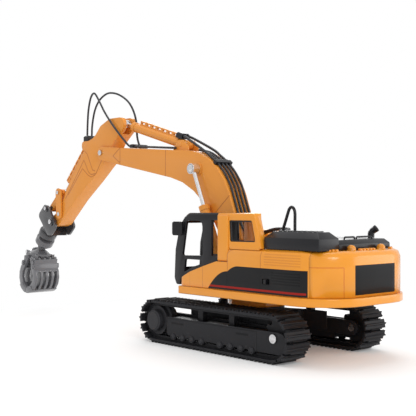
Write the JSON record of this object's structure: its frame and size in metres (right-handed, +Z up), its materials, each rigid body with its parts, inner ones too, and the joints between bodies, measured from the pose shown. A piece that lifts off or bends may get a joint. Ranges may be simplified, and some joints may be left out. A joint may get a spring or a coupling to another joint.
{
  "type": "toy excavator with a timber grapple",
  "caption": "Toy crawler excavator with an open cab, bent boom on twin cylinders, stick with tilt linkage and a turning grapple of tined jaws.",
  "frame": {"origin": "under the middle of the machine as stored, on the floor", "axes": "+X forward along the boom and tracks, +Y to the left, +Z up"},
  "size_m": [0.6782, 0.156, 0.3179],
  "materials": {
    "body_yellow": "gloss",
    "skirt_amber": "satin",
    "black_plastic": "satin",
    "belt_black": "matte",
    "grapple_grey": "satin",
    "bright_steel": "polished",
    "hose_rubber": "matte"
  },
  "bodies": {
    "undercarriage": {"chassis_frame": "black_plastic", "left_track_frame": "black_plastic", "right_track_frame": "black_plastic", "left_track": "belt_black", "right_track": "belt_black"},
    "left_drive": {"left_sprocket": "black_plastic", "left_drive_axle": "bright_steel"},
    "right_drive": {"right_sprocket": "black_plastic", "right_drive_axle": "bright_steel"},
    "left_front_wheel": {"left_idler": "black_plastic"},
    "right_front_wheel": {"right_idler": "black_plastic"},
    "house": {"turntable": "skirt_amber", "deck_plate": "body_yellow", "body_shell": "body_yellow", "right_tank": "body_yellow", "counterweight": "body_yellow", "engine_hood": "black_plastic", "rear_hood": "black_plastic", "exhaust_pipe": "black_plastic", "handrail": "black_plastic", "cab_shell": "body_yellow", "cab_front_frame": "black_plastic", "cab_mirror": "black_plastic", "boom_bracket": "body_yellow", "boom_foot_pin": "bright_steel", "deck_hose_1": "hose_rubber", "deck_hose_2": "hose_rubber"},
    "switch": {"power_switch": "black_plastic"},
    "boom_body": {"boom": "body_yellow", "stick_pin": "bright_steel", "hose_clamp": "black_plastic", "hose_clip": "black_plastic", "boom_hose_1": "hose_rubber", "boom_hose_2": "hose_rubber", "boom_hose_3": "hose_rubber", "boom_hose_4": "hose_rubber", "left_loop_hose": "hose_rubber", "right_loop_hose": "hose_rubber"},
    "left_lift_barrel": {"left_boom_barrel": "body_yellow"},
    "right_lift_barrel": {"right_boom_barrel": "body_yellow"},
    "left_lift_rod": {"left_boom_rod": "bright_steel"},
    "right_lift_rod": {"right_boom_rod": "bright_steel"},
    "arm_cylinder": {"arm_barrel": "body_yellow", "hose_block": "black_plastic"},
    "arm_ram": {"arm_rod": "bright_steel"},
    "stick_body": {"stick": "body_yellow", "hose_connector": "black_plastic"},
    "tilt_cylinder": {"tilt_barrel": "body_yellow"},
    "tilt_ram": {"tilt_rod": "bright_steel"},
    "rocker_body": {"rocker": "body_yellow"},
    "link_body": {"tilt_link": "body_yellow"},
    "hanger_body": {"hanger": "black_plastic", "tip_pin": "bright_steel"},
    "swing_body": {"swing_collar": "grapple_grey"},
    "head_body": {"grapple_head": "grapple_grey"},
    "front_jaw_body": {"front_jaw": "grapple_grey"},
    "rear_jaw_body": {"rear_jaw": "grapple_grey"},
    "grab_cylinder": {"grab_barrel": "grapple_grey"},
    "grab_ram": {"grab_rod": "bright_steel"}
  },
  "joints": [
    {"name": "slew", "type": "hinge", "parent": "undercarriage", "child": "house", "pos_m": [-0.17158, 0, 0.0457], "axis": [0, 0, 1], "continuous": true},
    {"name": "left_drive_turn", "type": "hinge", "parent": "undercarriage", "child": "left_drive", "pos_m": [-0.26658, 0.061, 0.025], "axis": [0, 1, 0], "continuous": true},
    {"name": "right_drive_turn", "type": "hinge", "parent": "undercarriage", "child": "right_drive", "pos_m": [-0.26658, -0.061, 0.025], "axis": [0, 1, 0], "continuous": true},
    {"name": "left_wheel_turn", "type": "hinge", "parent": "undercarriage", "child": "left_front_wheel", "pos_m": [-0.07658, 0.061, 0.025], "axis": [0, 1, 0], "continuous": true},
    {"name": "right_wheel_turn", "type": "hinge", "parent": "undercarriage", "child": "right_front_wheel", "pos_m": [-0.07658, -0.061, 0.025], "axis": [0, 1, 0], "continuous": true},
    {"name": "switch_slide", "type": "slide", "parent": "house", "child": "switch", "axis": [1, 0, 0], "range_m": [-0.003, 0.003]},
    {"name": "boom_lift", "type": "hinge", "parent": "house", "child": "boom_body", "pos_m": [-0.15958, 0, 0.098], "axis": [0, 1, 0], "range_deg": [-10, 25], "deforming": ["deck_hose_1", "deck_hose_2"]},
    {"name": "left_lift_swing", "type": "hinge", "parent": "house", "child": "left_lift_barrel", "pos_m": [-0.13558, 0.021, 0.08], "axis": [0, 1, 0], "range_deg": [-10, 25]},
    {"name": "left_lift_stroke", "type": "slide", "parent": "left_lift_barrel", "child": "left_lift_rod", "axis": [0.3929, 0, 0.9196], "range_m": [-0.0132, 0.0056]},
    {"name": "right_lift_swing", "type": "hinge", "parent": "house", "child": "right_lift_barrel", "pos_m": [-0.13558, -0.021, 0.08], "axis": [0, 1, 0], "range_deg": [-10, 25]},
    {"name": "right_lift_stroke", "type": "slide", "parent": "right_lift_barrel", "child": "right_lift_rod", "axis": [0.3929, 0, 0.9196], "range_m": [-0.0132, 0.0056]},
    {"name": "stick_swing", "type": "hinge", "parent": "boom_body", "child": "stick_body", "pos_m": [0.12142, 0, 0.231], "axis": [0, 1, 0], "range_deg": [-5, 35], "deforming": ["left_loop_hose", "right_loop_hose"]},
    {"name": "arm_cylinder_swing", "type": "hinge", "parent": "boom_body", "child": "arm_cylinder", "pos_m": [-0.04558, 0, 0.233], "axis": [0, 1, 0], "range_deg": [-4, 1]},
    {"name": "arm_stroke", "type": "slide", "parent": "arm_cylinder", "child": "arm_ram", "axis": [0.9625, 0, 0.2713], "range_m": [-0.005, 0.032]},
    {"name": "tilt", "type": "hinge", "parent": "stick_body", "child": "hanger_body", "pos_m": [0.24642, 0, 0.1345], "axis": [0, 1, 0], "range_deg": [-12, 18]},
    {"name": "rocker_swing", "type": "hinge", "parent": "stick_body", "child": "rocker_body", "pos_m": [0.23072, 0, 0.146], "axis": [0, 1, 0], "range_deg": [-12, 17]},
    {"name": "link_swing", "type": "hinge", "parent": "rocker_body", "child": "link_body", "pos_m": [0.23242, 0, 0.1777], "axis": [0, 1, 0], "range_deg": [-10, 7]},
    {"name": "tilt_cylinder_swing", "type": "hinge", "parent": "stick_body", "child": "tilt_cylinder", "pos_m": [0.16642, 0, 0.2445], "axis": [0, 1, 0], "range_deg": [-4, 3]},
    {"name": "tilt_stroke", "type": "slide", "parent": "tilt_cylinder", "child": "tilt_ram", "axis": [0.7028, 0, -0.7114], "range_m": [-0.0055, 0.008]},
    {"name": "swing", "type": "hinge", "parent": "hanger_body", "child": "swing_body", "pos_m": [0.28953, 0, 0.10864], "axis": [0, 1, 0], "range_deg": [-15, 15]},
    {"name": "turn", "type": "hinge", "parent": "swing_body", "child": "head_body", "pos_m": [0.30206, 0, 0.0937], "axis": [-0.1736, 0, 0.9848], "continuous": true},
    {"name": "grab", "type": "hinge", "parent": "head_body", "child": "front_jaw_body", "pos_m": [0.31289, 0, 0.07834], "axis": [0, -1, 0], "range_deg": [0, 30]},
    {"name": "rear_grab", "type": "hinge", "parent": "head_body", "child": "rear_jaw_body", "pos_m": [0.29714, 0, 0.07557], "axis": [0, 1, 0], "range_deg": [0, 30]},
    {"name": "grab_cylinder_swing", "type": "hinge", "parent": "head_body", "child": "grab_cylinder", "pos_m": [0.31521, 0, 0.09114], "axis": [0, -1, 0], "range_deg": [0, 36]},
    {"name": "grab_stroke", "type": "slide", "parent": "grab_cylinder", "child": "grab_ram", "axis": [0.9751, 0, -0.2217], "range_m": [-0.0075, 0]}
  ],
  "couplings": [
    {"joint": "left_wheel_turn", "follows": "left_drive_turn", "ratio": 1},
    {"joint": "right_wheel_turn", "follows": "right_drive_turn", "ratio": 1},
    {"joint": "left_lift_swing", "follows": "boom_lift", "ratio": 0.9751},
    {"joint": "right_lift_swing", "follows": "boom_lift", "ratio": 0.9751},
    {"joint": "left_lift_stroke", "follows": "boom_lift", "m_per_rad": -0.028949},
    {"joint": "right_lift_stroke", "follows": "boom_lift", "m_per_rad": -0.028949},
    {"joint": "arm_cylinder_swing", "follows": "stick_swing", "ratio": -0.0937},
    {"joint": "arm_stroke", "follows": "stick_swing", "m_per_rad": 0.051038},
    {"joint": "rocker_swing", "follows": "tilt", "ratio": 0.93},
    {"joint": "link_swing", "follows": "tilt", "ratio": -0.5},
    {"joint": "tilt_cylinder_swing", "follows": "tilt", "ratio": -0.1894},
    {"joint": "tilt_stroke", "follows": "tilt", "m_per_rad": 0.022283},
    {"joint": "rear_grab", "follows": "grab", "ratio": 1},
    {"joint": "grab_cylinder_swing", "follows": "grab", "ratio": 1.1417},
    {"joint": "grab_stroke", "follows": "grab", "m_per_rad": -0.012694}
  ]
}
